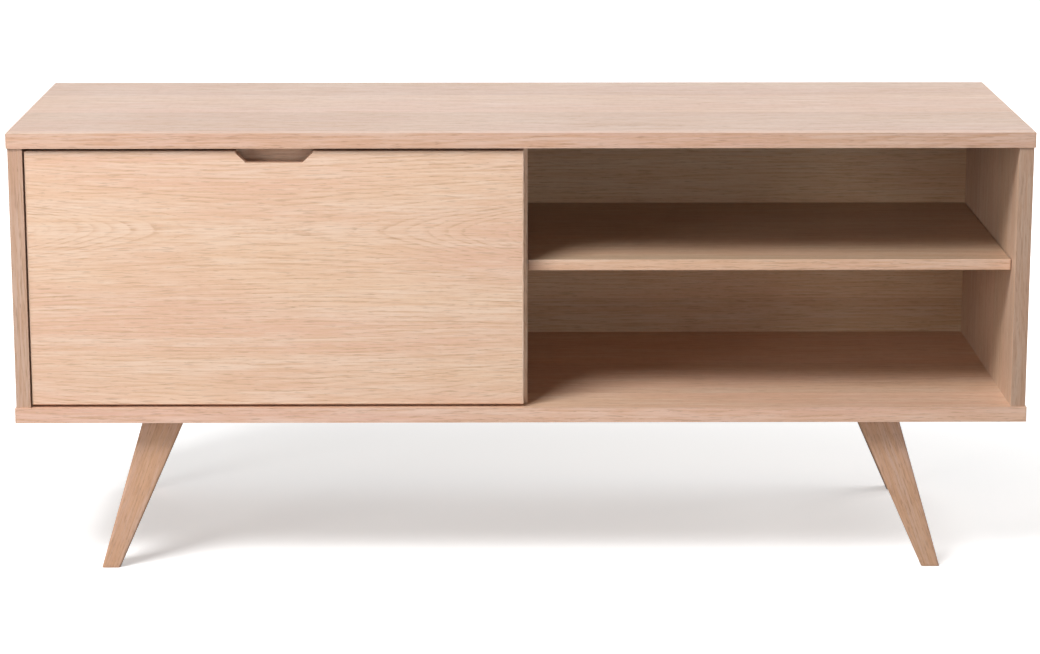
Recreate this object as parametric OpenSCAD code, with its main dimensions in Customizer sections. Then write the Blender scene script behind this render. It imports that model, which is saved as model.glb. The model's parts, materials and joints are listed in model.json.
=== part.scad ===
// Low media cabinet on four raked legs: a drop-front compartment on the left, an open
// bay with one shelf on the right. Millimetres. Origin on the floor under the middle of
// the cabinet, +X to the right as you face it, +Y to the back, +Z up.

/* [Overall] */
// Length of the top and bottom boards
width = 1200; // [1000:10:1600]
// Depth of the top and bottom boards
depth = 400; // [360:5:500]
// Floor to the top surface
height = 535; // [480:5:680]

/* [Boards] */
// Thickness of the top board
top_t = 18; // [15:0.5:25]
// Thickness of the bottom board
bottom_t = 18; // [17:0.5:25]
// Thickness of the two side boards
side_t = 17; // [15:0.5:22]
// Thickness of the upright between the two compartments
divider_t = 15; // [14:0.5:22]
// Thickness of the back sheet
back_t = 4; // [3:0.5:6]
// How far the side boards stand in from the ends of the top and bottom
side_inset = 1.5; // [0:0.5:6]
// How far the side boards stand back from the front and rear of the top and bottom
side_setback = 2; // [0:0.5:6]
// Rear face of the back sheet, in from the rear edge of the top
back_inset = 4; // [3:0.5:12]
// Depth of the grooves that hold the back sheet
groove_depth = 6; // [4:0.5:8]
// Free width of a groove beyond the sheet's thickness
groove_play = 0.2; // [0.1:0.1:0.6]
// Free space past each edge of the back sheet inside its groove
groove_end_play = 1; // [0.5:0.1:2]

/* [Shelf] */
// Thickness of the shelf
shelf_t = 13; // [11:0.5:22]
// Clear height under the shelf
shelf_lift = 160; // [100:5:200]
// Front edge of the shelf, back from the front of the top
shelf_setback = 30; // [10:1:80]
// Gap at each end of the shelf and behind it
shelf_gap = 1; // [0.5:0.1:2]
// Diameter of the shelf pins
pin_d = 5; // [4:0.5:6]
// Length of a shelf pin on each side of the joint
pin_reach = 8; // [6:0.5:9]
// First and last pin, in from the front and rear of the shelf
pin_margin = 40; // [30:1:90]

/* [Door] */
// Thickness of the door
door_t = 18; // [17:0.5:24]
// Front face of the door, back from the front of the top
door_setback = 5; // [3:0.5:10]
// Gap between the door and the left side board
door_side_gap = 2; // [1.5:0.5:4]
// Gap under the door
door_bottom_gap = 3; // [3:0.5:5]
// Gap over the door
door_top_gap = 4; // [3:0.5:6]
// Width of the upright's front edge that the door covers
door_overlap = 10; // [6:0.5:12]
// Space between the closed door and the upright's front edge
door_rear_gap = 2; // [1.5:0.1:3]
// Bevel along the lower front edge of the door, which turns past the bottom board
door_bevel = 1.2; // [1:0.1:2]
// Width of the finger notch at its foot
notch_w = 66; // [50:1:100]
// Depth of the finger notch
notch_d = 14; // [12:0.5:25]
// Radius in the lower corners of the notch
notch_r = 2; // [1:0.5:4]

/* [Stop rail] */
// Height of the rail behind the top of the door
rail_h = 60; // [50:1:90]
// Thickness of the rail
rail_t = 16; // [14:0.5:22]
// Finger room between the closed door and the rail
finger_gap = 12; // [11:0.5:20]

/* [Legs] */
// Height of the legs
leg_h = 187; // [120:1:230]
// Width of a leg at the top, across the cabinet
leg_top_w = 50; // [40:1:60]
// Width of a foot, across the cabinet
leg_foot_w = 22; // [20:1:30]
// Thickness of a leg at the top, front to back
leg_top_t = 30; // [26:1:44]
// Thickness of a foot, front to back
leg_foot_t = 22; // [18:1:26]
// Outer edge of a foot, in from the end of the bottom board
leg_end_inset = 94; // [60:1:160]
// Outward run of a leg's outer edge from top to foot
leg_rake = 55; // [30:1:65]
// Outer face of a leg, in from the front or rear of the bottom board
leg_face_inset = 25; // [15:1:60]
// Radius of a leg's long edges
leg_edge_r = 3; // [1:0.5:5]

/* [Dowels and studs] */
// Diameter of the carcass dowels
dowel_d = 8; // [6:1:10]
// Length of the carcass dowels
dowel_l = 30; // [24:1:34]
// Radial clearance of a dowel or screw in its hole
glue_gap = 0.05; // [0.02:0.01:0.1]
// Diameter of the leg studs
stud_d = 8; // [6:1:8]
// Length of stud in the leg
stud_in_leg = 32; // [24:1:36]
// Outer diameter of the threaded insert
insert_d = 12; // [11:1:13]
// Length of the threaded insert
insert_l = 13; // [10:1:14]

/* [Door hinges] */
// Hinge axis, back from the front face of the door
axis_in = 6.5; // [6:0.5:7]
// Hinge axis, up from the bottom edge of the door
axis_up = 6.5; // [6.5:0.5:7]
// Diameter of the hinge cup's bore
cup_d = 35; // [35:1:36]
// Wood left between the cup's bore and the bottom edge of the door
cup_edge = 3; // [3:0.5:3.5]
// Wood left in front of the cup's bore
cup_skin = 3; // [3:0.1:3.2]
// Middle of each hinge, in from the end of the door
hinge_margin = 100; // [70:1:160]
// Diameter of the hinge pin
axle_d = 2.5; // [2:0.1:2.6]
// Running clearance of the arm on its pin, on the radius
axle_play = 0.05; // [0.02:0.01:0.08]
// Width of a hinge arm
arm_w = 12; // [10:0.2:12]
// Thickness of the arm's neck
neck_t = 3; // [2.4:0.1:3]

/* [Door stay] */
// Stay pivot on the door, up from the hinge axis
stay_up = 120; // [90:1:150]
// Stay pivot on the door, in from the door's inner face
stay_in = 8; // [8:0.5:12]
// Direction of the guide stud from the hinge axis, above the horizontal
stay_angle = 50; // [40:1:60]
// Width of the stay arm
stay_w = 12; // [11:0.5:16]
// Thickness of the stay arm and its two plates
stay_t = 2; // [1.5:0.1:2.5]
// Diameter of the guide stud
guide_d = 6; // [5:0.5:6.5]

/* [Hidden] */
$fn = 64;
eps = 0.01;
slice = 0.1;

// Colours
veneer = [0.87, 0.73, 0.61];
solid_oak = [0.77, 0.60, 0.47];
beech = [0.84, 0.70, 0.52];
zinc = [0.72, 0.73, 0.74];
nickel = [0.80, 0.80, 0.79];
white_plastic = [0.90, 0.89, 0.86];
magnet_grey = [0.20, 0.20, 0.21];
clear_rubber = [0.86, 0.87, 0.87];

// Levels and faces of the carcass
floor_z = leg_h + bottom_t;
ceiling_z = height - top_t;
front_y = -depth / 2;
inner_x = width / 2 - side_inset - side_t;
side_mid_x = inner_x + side_t / 2;
side_y = depth / 2 - side_setback;
back_y = depth / 2 - back_inset - back_t;

// Door
door_front_y = front_y + door_setback;
door_inner_y = door_front_y + door_t;
door_left_x = -inner_x + door_side_gap;
door_right_x = -divider_t / 2 + door_overlap;
door_w = door_right_x - door_left_x;
door_mid_x = (door_left_x + door_right_x) / 2;
door_z = floor_z + door_bottom_gap;
door_top_z = ceiling_z - door_top_gap;
door_h = door_top_z - door_z;
divider_front_y = door_inner_y + door_rear_gap;

// Stop rail
rail_front_y = door_inner_y + finger_gap;
rail_mid_y = rail_front_y + rail_t / 2;
rail_z = ceiling_z - rail_h;
rail_dowel_l = 22;
rail_dowel_in_board = 9;
rail_dowel_zs = [rail_z + rail_h / 4, rail_z + rail_h * 3 / 4];

// Shelf
shelf_z = floor_z + shelf_lift;
shelf_front_y = front_y + shelf_setback;
shelf_rear_y = back_y - shelf_gap;
shelf_left_x = divider_t / 2 + shelf_gap;
shelf_right_x = inner_x - shelf_gap;
pin_play = 0.1;
pin_ys = [shelf_front_y + pin_margin, shelf_rear_y - pin_margin];
pin_z = shelf_z + pin_d / 2;

// Legs, given for the rear right one and mirrored for the others
foot_out_x = width / 2 - leg_end_inset;
foot_mid_x = foot_out_x - leg_foot_w / 2;
leg_top_mid_x = foot_out_x - leg_rake - leg_top_w / 2;
leg_face_y = depth / 2 - leg_face_inset;
stud_x = leg_top_mid_x + leg_top_w * 0.08;
stud_y = leg_face_y - leg_top_t / 2;
stud_in_insert = 12;
leg_dowel_d = 6;
leg_dowel_l = 20;
leg_dowel_in_board = 8;
leg_dowel_x = leg_top_mid_x - leg_top_w * 0.24;
leg_corners = [[-1, -1], [1, -1], [-1, 1], [1, 1]];

// Carcass dowels
dowel_r = dowel_d / 2;
dowel_in_board = 10;
bore_spare = 1;
dowel_front_y = rail_front_y + rail_t + dowel_d + 6;
dowel_rear_y = back_y - 30;
dowel_ys = [for (k = [0 : 3]) dowel_front_y + k * (dowel_rear_y - dowel_front_y) / 3];

// Hinge axis, cups and arms
axis_y = door_front_y + axis_in;
axis_z = door_z + axis_up;
cup_r = cup_d / 2;
cup_play = 0.1;
cup_mid_z = door_z + cup_edge + cup_r;
cup_front_y = door_front_y + cup_skin;
cup_slot_w = arm_w + 0.6;
cup_slot_z = axis_z - 2;
cup_slot_top_z = cup_mid_z + 15;
flange_t = 1.2;
flange_r = cup_r + 1;
flange_half_w = 26;
flange_bar_h = 12;
flange_mid_z = cup_mid_z + 3;
hinge_xs = [door_left_x + hinge_margin, door_right_x - hinge_margin];
axle_half_l = 8.2;
eye_r = axle_d / 2 + 1;
door_corner_r = norm([door_t - axis_in + flange_t, axis_up]);
neck_in_r = door_corner_r + 1;
neck_out_r = neck_in_r + neck_t;
foot_plate_t = 2;
foot_plate_l = 46;
foot_screw_ys = [for (k = [0.42, 0.82]) axis_y + neck_out_r + foot_plate_l * k];

// Stay: its two pivots lie the same distance from the hinge axis, so the arm turns
// half as far as the door and its slot always lies on the guide stud
stay_pivot_y = door_inner_y + stay_in;
stay_pivot_z = axis_z + stay_up;
stay_r = norm([stay_pivot_y - axis_y, stay_up]);
stay_closed_angle = atan2(stay_up, stay_pivot_y - axis_y);
guide_y = axis_y + stay_r * cos(stay_angle);
guide_z = axis_z + stay_r * sin(stay_angle);
stay_short = 2 * stay_r * sin((stay_closed_angle - stay_angle) / 2);
stay_long = 2 * stay_r * sin((stay_closed_angle + 90 - stay_angle) / 2);
stay_tilt = atan2(guide_z - stay_pivot_z, guide_y - stay_pivot_y);
stay_plate_x = -inner_x;
stay_arm_x = stay_plate_x + stay_t + 1;
stay_tab_x = stay_arm_x + stay_t + 0.3;
stay_eye_r = 7;
stay_slot_play = 0.3;
rivet_r = 2.5;
bracket_w = 22;
bracket_h = 34;
side_plate_y = 22;
side_plate_z = 44;

// Catch
catch_x = door_mid_x + notch_w / 2 + notch_d + 60;
catch_z = ceiling_z - rail_h * 0.45;
catch_w = 40;
catch_h = 14;
strike_t = 1.2;
strike_w = 30;
strike_h = 12;
magnet_w = 18;
magnet_h = 7;
magnet_depth = 6;
magnet_front_y = door_inner_y + strike_t + 0.3;
catch_front_y = magnet_front_y + 0.5;

// Bumpers
bumper_d = 7;
bumper_t = door_rear_gap - 0.2;
bumper_x = (door_right_x - divider_t / 2) / 2;
bumper_zs = [floor_z + 45, ceiling_z - 45];

// ---- Shared shapes ----

// A board given by its lowest and highest corners
module board(low, high) {
    translate(low) cube(high - low);
}

// A cylinder along +X, +Y or +Z from its start point
module rod_x(start, length, r) {
    translate(start) rotate([0, 90, 0]) cylinder(h = length, r = r);
}

module rod_y(start, length, r) {
    translate(start) rotate([-90, 0, 0]) cylinder(h = length, r = r);
}

module rod_z(start, length, r) {
    translate(start) cylinder(h = length, r = r);
}

// A pan-head wood screw along -Z with its head's underside at the origin
module screw(shank_r, length) {
    head_r = shank_r * 2;
    head_h = shank_r * 1.2;
    cross_w = shank_r * 0.5;
    difference() {
        union() {
            translate([0, 0, -length]) cylinder(h = length, r = shank_r);
            cylinder(h = head_h, r1 = head_r, r2 = head_r * 0.65);
        }
        for (turn = [0, 90])
            rotate([0, 0, turn])
                translate([-head_r * 0.5, -cross_w / 2, head_h * 0.4])
                    cube([head_r, cross_w, head_h]);
    }
}

small_screw_r = 1.6;
small_screw_l = 12;

// ---- Carcass ----

// Holes for one row of carcass dowels, across the joint at level z
module dowel_row(x, ys, z, up, r) {
    in_upright = dowel_l - dowel_in_board;
    low = up ? z - in_upright : z - dowel_in_board;
    for (y = ys) rod_z([x, y, low], dowel_l, r);
}

module dowel_row_bores(x, ys, z, up) {
    in_upright = dowel_l - dowel_in_board;
    low = up ? z - in_upright : z - dowel_in_board;
    for (y = ys)
        rod_z([x, y, low - bore_spare / 2], dowel_l + bore_spare, dowel_r + glue_gap);
}

// The groove that the back sheet stands in, as one ring-shaped slab
module back_groove() {
    board(
        [-inner_x - groove_depth, back_y - groove_play / 2, floor_z - groove_depth],
        [inner_x + groove_depth, back_y + back_t + groove_play / 2,
         ceiling_z + groove_depth]
    );
}

module carcass_dowel_bores() {
    for (side = [-1, 1]) {
        dowel_row_bores(side * side_mid_x, dowel_ys, ceiling_z, true);
        dowel_row_bores(side * side_mid_x, dowel_ys, floor_z, false);
    }
    dowel_row_bores(0, dowel_ys, ceiling_z, true);
    dowel_row_bores(0, dowel_ys, floor_z, false);
}

module top_panel() {
    color(veneer) difference() {
        board([-width / 2, front_y, ceiling_z], [width / 2, -front_y, height]);
        back_groove();
        carcass_dowel_bores();
    }
}

module bottom_panel() {
    color(veneer) difference() {
        board([-width / 2, front_y, leg_h], [width / 2, -front_y, floor_z]);
        back_groove();
        carcass_dowel_bores();
        for (c = leg_corners) {
            rod_z([c.x * stud_x, c.y * stud_y, leg_h - eps], insert_l + bore_spare,
                  insert_d / 2 + glue_gap);
            rod_z([c.x * leg_dowel_x, c.y * stud_y, leg_h - eps],
                  leg_dowel_in_board + bore_spare, leg_dowel_d / 2 + glue_gap);
        }
        for (x = hinge_xs, y = foot_screw_ys)
            rod_z([x, y, floor_z - small_screw_l], small_screw_l + eps,
                  small_screw_r + glue_gap);
    }
}

module side_board(side) {
    board(
        [side > 0 ? inner_x : -inner_x - side_t, -side_y, floor_z],
        [side > 0 ? inner_x + side_t : -inner_x, side_y, ceiling_z]
    );
}

module left_side() {
    color(veneer) difference() {
        side_board(-1);
        back_groove();
        carcass_dowel_bores();
        for (z = rail_dowel_zs)
            rod_x([-inner_x - rail_dowel_in_board - bore_spare, rail_mid_y, z],
                  rail_dowel_in_board + bore_spare + eps, dowel_r + glue_gap);
        for (z = side_plate_screw_zs)
            rod_x([-inner_x - small_screw_l, guide_y, z], small_screw_l + eps,
                  small_screw_r + glue_gap);
    }
}

module right_side() {
    color(veneer) difference() {
        side_board(1);
        back_groove();
        carcass_dowel_bores();
        for (y = pin_ys)
            rod_x([inner_x - eps, y, pin_z], pin_reach + bore_spare + eps,
                  pin_d / 2 + glue_gap);
    }
}

module divider() {
    color(veneer) difference() {
        board([-divider_t / 2, divider_front_y, floor_z],
              [divider_t / 2, back_y, ceiling_z]);
        carcass_dowel_bores();
        for (y = pin_ys)
            rod_x([divider_t / 2 - pin_reach - bore_spare, y, pin_z],
                  pin_reach + bore_spare + eps, pin_d / 2 + glue_gap);
        for (z = rail_dowel_zs)
            rod_x([-divider_t / 2 - eps, rail_mid_y, z],
                  rail_dowel_in_board + bore_spare + eps, dowel_r + glue_gap);
    }
}

module back_panel() {
    reach = groove_depth - groove_end_play;
    color(veneer)
        board([-inner_x - reach, back_y, floor_z - reach],
              [inner_x + reach, back_y + back_t, ceiling_z + reach]);
}

module stop_rail() {
    in_rail = rail_dowel_l - rail_dowel_in_board;
    color(veneer) difference() {
        board([-inner_x, rail_front_y, rail_z],
              [-divider_t / 2, rail_front_y + rail_t, ceiling_z]);
        for (z = rail_dowel_zs) {
            rod_x([-inner_x - eps, rail_mid_y, z], in_rail + bore_spare + eps,
                  dowel_r + glue_gap);
            rod_x([-divider_t / 2 - in_rail - bore_spare, rail_mid_y, z],
                  in_rail + bore_spare + eps, dowel_r + glue_gap);
        }
        for (x = catch_screw_xs)
            rod_y([x, rail_front_y - eps, catch_z], small_screw_l + eps,
                  small_screw_r + glue_gap);
    }
}

// ---- Dowels ----

module top_side_dowels() {
    color(beech)
        for (side = [-1, 1])
            dowel_row(side * side_mid_x, dowel_ys, ceiling_z, true, dowel_r);
}

module bottom_side_dowels() {
    color(beech)
        for (side = [-1, 1])
            dowel_row(side * side_mid_x, dowel_ys, floor_z, false, dowel_r);
}

module top_divider_dowels() {
    color(beech) dowel_row(0, dowel_ys, ceiling_z, true, dowel_r);
}

module bottom_divider_dowels() {
    color(beech) dowel_row(0, dowel_ys, floor_z, false, dowel_r);
}

module rail_dowels() {
    color(beech)
        for (z = rail_dowel_zs) {
            rod_x([-inner_x - rail_dowel_in_board, rail_mid_y, z], rail_dowel_l, dowel_r);
            rod_x([-divider_t / 2 + rail_dowel_in_board - rail_dowel_l, rail_mid_y, z],
                  rail_dowel_l, dowel_r);
        }
}

// ---- Shelf ----

module shelf() {
    pocket_w = pin_d + 2 * pin_play;
    pocket_x = pin_reach + bore_spare;
    color(veneer) difference() {
        board([shelf_left_x, shelf_front_y, shelf_z],
              [shelf_right_x, shelf_rear_y, shelf_z + shelf_t]);
        for (y = pin_ys, x = [shelf_left_x - eps, shelf_right_x - pocket_x])
            board([x, y - pocket_w / 2, shelf_z - eps],
                  [x + pocket_x + eps, y + pocket_w / 2, shelf_z + pin_d + pin_play / 2]);
    }
}

module shelf_pins() {
    color(zinc)
        for (y = pin_ys) {
            rod_x([inner_x - pin_reach, y, pin_z], 2 * pin_reach, pin_d / 2);
            rod_x([divider_t / 2 - pin_reach, y, pin_z], 2 * pin_reach, pin_d / 2);
        }
}

// ---- Door ----

// Finger notch with slopes at 45 degrees and eased lower corners, over the door's top edge
module notch_outline() {
    over = 1;
    offset(r = notch_r) offset(delta = -notch_r)
        polygon([
            [-notch_w / 2, -notch_d],
            [notch_w / 2, -notch_d],
            [notch_w / 2 + notch_d + over, over],
            [-notch_w / 2 - notch_d - over, over]
        ]);
}

module door() {
    color(veneer) difference() {
        board([door_left_x, door_front_y, door_z],
              [door_right_x, door_inner_y, door_top_z]);
        translate([door_mid_x, door_inner_y + 1, door_top_z])
            rotate([90, 0, 0])
                linear_extrude(height = door_t + 2) notch_outline();
        translate([door_left_x - 1, door_front_y, door_z])
            rotate([0, 90, 0])
                linear_extrude(height = door_w + 2)
                    polygon([[eps, -eps], [eps, door_bevel], [-door_bevel, -eps]]);
        for (x = hinge_xs) {
            rod_y([x, cup_front_y, cup_mid_z], door_inner_y - cup_front_y + eps, cup_r);
            for (side = [-1, 1])
                rod_y([x + side * (flange_half_w - 6), door_inner_y - small_screw_l,
                       flange_mid_z],
                      small_screw_l + eps, small_screw_r + glue_gap);
        }
        for (z = bracket_screw_zs)
            rod_y([bracket_screw_x, door_inner_y - small_screw_l, z],
                  small_screw_l + eps, small_screw_r + glue_gap);
        rod_y([catch_x, door_inner_y - small_screw_l, catch_z], small_screw_l + eps,
              small_screw_r + glue_gap);
    }
}

module door_bumpers() {
    color(clear_rubber)
        for (z = bumper_zs)
            rod_y([bumper_x, divider_front_y - bumper_t, z], bumper_t, bumper_d / 2);
}

// ---- Legs ----

module leg_section(w, t) {
    offset(r = leg_edge_r, $fn = 24)
        square([w - 2 * leg_edge_r, t - 2 * leg_edge_r], center = true);
}

// The rear right leg: its outer end is raked and its rear face is upright
module leg_blank() {
    hull() {
        translate([foot_mid_x, leg_face_y - leg_foot_t / 2, 0])
            linear_extrude(height = slice) leg_section(leg_foot_w, leg_foot_t);
        translate([leg_top_mid_x, leg_face_y - leg_top_t / 2, leg_h - slice])
            linear_extrude(height = slice) leg_section(leg_top_w, leg_top_t);
    }
}

module leg(corner) {
    color(solid_oak) difference() {
        mirror([corner.x < 0 ? 1 : 0, 0, 0])
            mirror([0, corner.y < 0 ? 1 : 0, 0]) leg_blank();
        rod_z([corner.x * stud_x, corner.y * stud_y, leg_h - stud_in_leg - bore_spare],
              stud_in_leg + bore_spare + 1, stud_d / 2 + glue_gap);
        rod_z([corner.x * leg_dowel_x, corner.y * stud_y,
               leg_h - leg_dowel_l + leg_dowel_in_board - bore_spare],
              leg_dowel_l, leg_dowel_d / 2 + glue_gap);
    }
}

module leg_studs() {
    color(zinc)
        for (c = leg_corners)
            rod_z([c.x * stud_x, c.y * stud_y, leg_h - stud_in_leg],
                  stud_in_leg + stud_in_insert, stud_d / 2);
}

module leg_inserts() {
    color(zinc)
        for (c = leg_corners)
            difference() {
                rod_z([c.x * stud_x, c.y * stud_y, leg_h], insert_l, insert_d / 2);
                rod_z([c.x * stud_x, c.y * stud_y, leg_h - 1],
                      stud_in_insert + 1 + bore_spare / 2, stud_d / 2 + glue_gap);
            }
}

module leg_dowels() {
    color(beech)
        for (c = leg_corners)
            rod_z([c.x * leg_dowel_x, c.y * stud_y,
                   leg_h - leg_dowel_l + leg_dowel_in_board],
                  leg_dowel_l, leg_dowel_d / 2);
}

// ---- Hinges ----

// The opening in a cup and its flange, in which the arm's neck turns
module cup_slot(x) {
    board([x - cup_slot_w / 2, axis_y - eye_r - 0.4, cup_slot_z],
          [x + cup_slot_w / 2, door_inner_y + flange_t + 1, cup_slot_top_z]);
    rod_x([x - cup_slot_w / 2, axis_y, axis_z], cup_slot_w, eye_r + 0.4);
}

module hinge_cup(x) {
    color(nickel) difference() {
        union() {
            rod_y([x, cup_front_y + cup_play, cup_mid_z],
                  door_inner_y - cup_front_y - cup_play, cup_r - cup_play);
            rod_y([x, door_inner_y, cup_mid_z], flange_t, flange_r);
            for (side = [-1, 1])
                rod_y([x + side * (flange_half_w - 6), door_inner_y, flange_mid_z],
                      flange_t, flange_bar_h / 2);
            board([x - flange_half_w + 6, door_inner_y, flange_mid_z - flange_bar_h / 2],
                  [x + flange_half_w - 6, door_inner_y + flange_t,
                   flange_mid_z + flange_bar_h / 2]);
        }
        cup_slot(x);
        rod_x([x - axle_half_l - 0.2, axis_y, axis_z], 2 * axle_half_l + 0.4,
              axle_d / 2 + glue_gap / 2);
        for (side = [-1, 1])
            rod_y([x + side * (flange_half_w - 6), door_inner_y - 1, flange_mid_z],
                  flange_t + 2, small_screw_r + glue_gap);
    }
}

module hinge_pin(x) {
    color(zinc) rod_x([x - axle_half_l, axis_y, axis_z], 2 * axle_half_l, axle_d / 2);
}

// Side outline of an arm, with the hinge axis at the origin: eye, neck, quarter turn over
// the door's edge, and the foot that lies on the bottom board
module arm_outline() {
    drop = axis_z - floor_z;
    circle(r = eye_r);
    translate([-neck_t / 2, 0]) square([neck_t, neck_in_r + neck_t / 2]);
    intersection() {
        difference() {
            circle(r = neck_out_r);
            circle(r = neck_in_r);
        }
        translate([-neck_t / 2, 0]) square([neck_out_r + neck_t, neck_out_r + 1]);
    }
    translate([neck_in_r, -drop]) square([neck_t, drop]);
    translate([neck_in_r, -drop]) square([neck_t + foot_plate_l, foot_plate_t]);
}

module hinge_arm(x) {
    color(nickel) difference() {
        translate([x - arm_w / 2, axis_y, axis_z])
            rotate([90, 0, 90])
                linear_extrude(height = arm_w) arm_outline();
        rod_x([x - arm_w, axis_y, axis_z], 2 * arm_w, axle_d / 2 + axle_play);
        for (y = foot_screw_ys)
            rod_z([x, y, floor_z - 1], foot_plate_t + 2, small_screw_r + glue_gap);
    }
}

module hinge_cup_screws() {
    color(zinc)
        for (x = hinge_xs, side = [-1, 1])
            translate([x + side * (flange_half_w - 6), door_inner_y + flange_t,
                       flange_mid_z])
                rotate([-90, 0, 0]) screw(small_screw_r, small_screw_l);
}

module hinge_arm_screws() {
    color(zinc)
        for (x = hinge_xs, y = foot_screw_ys)
            translate([x, y, floor_z + foot_plate_t]) screw(small_screw_r, small_screw_l);
}

// ---- Stay ----

// A bar with round ends, its first round end at the origin and its length along +X
module bar_outline(length, r) {
    circle(r = r);
    translate([0, -r]) square([length, 2 * r]);
    translate([length, 0]) circle(r = r);
}

// Puts a flat outline, drawn with its first axis to the rear and its second up, on the
// plane x, and gives it a thickness towards +X
module on_side(x, thickness) {
    translate([x, 0, 0]) rotate([90, 0, 90]) linear_extrude(height = thickness) children();
}

module stay_arm() {
    slot_r = guide_d / 2 + stay_slot_play;
    color(zinc)
        on_side(stay_arm_x, stay_t)
            translate([stay_pivot_y, stay_pivot_z]) rotate(stay_tilt)
                difference() {
                    union() {
                        circle(r = stay_eye_r);
                        bar_outline(stay_long, stay_w / 2);
                    }
                    circle(r = rivet_r + axle_play);
                    translate([stay_short, 0])
                        bar_outline(stay_long - stay_short, slot_r);
                }
}

bracket_x = stay_tab_x;
bracket_screw_x = bracket_x + bracket_w / 2 + 2;
bracket_screw_zs = [for (k = [-1, 1]) stay_pivot_z + k * bracket_h * 0.3];

module stay_door_bracket() {
    color(zinc) difference() {
        union() {
            board([bracket_x, door_inner_y, stay_pivot_z - bracket_h / 2],
                  [bracket_x + bracket_w, door_inner_y + stay_t,
                   stay_pivot_z + bracket_h / 2]);
            board([bracket_x, door_inner_y, stay_pivot_z - stay_eye_r],
                  [bracket_x + stay_t, stay_pivot_y, stay_pivot_z + stay_eye_r]);
            rod_x([bracket_x, stay_pivot_y, stay_pivot_z], stay_t, stay_eye_r);
        }
        rod_x([bracket_x - 1, stay_pivot_y, stay_pivot_z], stay_t + 2,
              rivet_r + glue_gap);
        for (z = bracket_screw_zs)
            rod_y([bracket_screw_x, door_inner_y - 1, z], stay_t + 2,
                  small_screw_r + glue_gap);
    }
}

module stay_door_screws() {
    color(zinc)
        for (z = bracket_screw_zs)
            translate([bracket_screw_x, door_inner_y + stay_t, z])
                rotate([-90, 0, 0]) screw(small_screw_r, small_screw_l);
}

module stay_rivet() {
    head_t = 0.6;
    play = 0.1;
    left_x = stay_arm_x - play;
    right_x = bracket_x + stay_t + play;
    color(zinc) {
        rod_x([left_x - head_t, stay_pivot_y, stay_pivot_z], head_t, rivet_r * 1.8);
        rod_x([left_x - eps, stay_pivot_y, stay_pivot_z], right_x - left_x + 2 * eps,
              rivet_r);
        rod_x([right_x, stay_pivot_y, stay_pivot_z], head_t * 2, rivet_r * 1.8);
    }
}

side_plate_screw_zs = [for (k = [-1, 1]) guide_z + k * side_plate_z * 0.34];

module stay_side_plate() {
    color(zinc) difference() {
        board([stay_plate_x, guide_y - side_plate_y / 2, guide_z - side_plate_z / 2],
              [stay_plate_x + stay_t, guide_y + side_plate_y / 2,
               guide_z + side_plate_z / 2]);
        rod_x([stay_plate_x - 1, guide_y, guide_z], stay_t + 2, guide_d / 2 + glue_gap);
        for (z = side_plate_screw_zs)
            rod_x([stay_plate_x - 1, guide_y, z], stay_t + 2, small_screw_r + glue_gap);
    }
}

// The plate's screws are countersunk flush, because the arm sweeps over them
module stay_side_screws() {
    color(zinc)
        for (z = side_plate_screw_zs)
            rod_x([stay_plate_x - small_screw_l, guide_y, z], small_screw_l + stay_t,
                  small_screw_r);
}

module stay_guide_stud() {
    head_x = stay_arm_x + stay_t + 0.3;
    color(zinc) {
        rod_x([stay_plate_x + eps, guide_y, guide_z], head_x - stay_plate_x, guide_d / 2);
        rod_x([head_x, guide_y, guide_z], 2, guide_d / 2 + 3);
    }
}

// ---- Catch ----

catch_screw_xs = [for (k = [-1, 1]) catch_x + k * (catch_w / 2 - 5)];

module catch_housing() {
    color(white_plastic) difference() {
        board([catch_x - catch_w / 2, catch_front_y, catch_z - catch_h / 2],
              [catch_x + catch_w / 2, rail_front_y, catch_z + catch_h / 2]);
        board([catch_x - magnet_w / 2, catch_front_y - 1, catch_z - magnet_h / 2],
              [catch_x + magnet_w / 2, magnet_front_y + magnet_depth,
               catch_z + magnet_h / 2]);
        for (x = catch_screw_xs) {
            rod_y([x, catch_front_y - 1, catch_z], rail_front_y - catch_front_y + 2,
                  small_screw_r + glue_gap);
            rod_y([x, catch_front_y - 1, catch_z], rail_front_y - catch_front_y - 1,
                  small_screw_r * 2 + 0.4);
        }
    }
}

module catch_magnet() {
    color(magnet_grey)
        board([catch_x - magnet_w / 2, magnet_front_y, catch_z - magnet_h / 2],
              [catch_x + magnet_w / 2, magnet_front_y + magnet_depth,
               catch_z + magnet_h / 2]);
}

module catch_screws() {
    color(zinc)
        for (x = catch_screw_xs)
            translate([x, rail_front_y - 2, catch_z])
                rotate([90, 0, 0]) screw(small_screw_r, small_screw_l);
}

module catch_strike() {
    color(zinc) difference() {
        board([catch_x - strike_w / 2, door_inner_y, catch_z - strike_h / 2],
              [catch_x + strike_w / 2, door_inner_y + strike_t, catch_z + strike_h / 2]);
        rod_y([catch_x, door_inner_y - 1, catch_z], strike_t + 2,
              small_screw_r + glue_gap);
    }
}

// A countersunk screw, flush with the strike
module catch_strike_screw() {
    color(zinc)
        rod_y([catch_x, door_inner_y - small_screw_l, catch_z],
              small_screw_l + strike_t, small_screw_r);
}

// ---- Assembly ----

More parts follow.
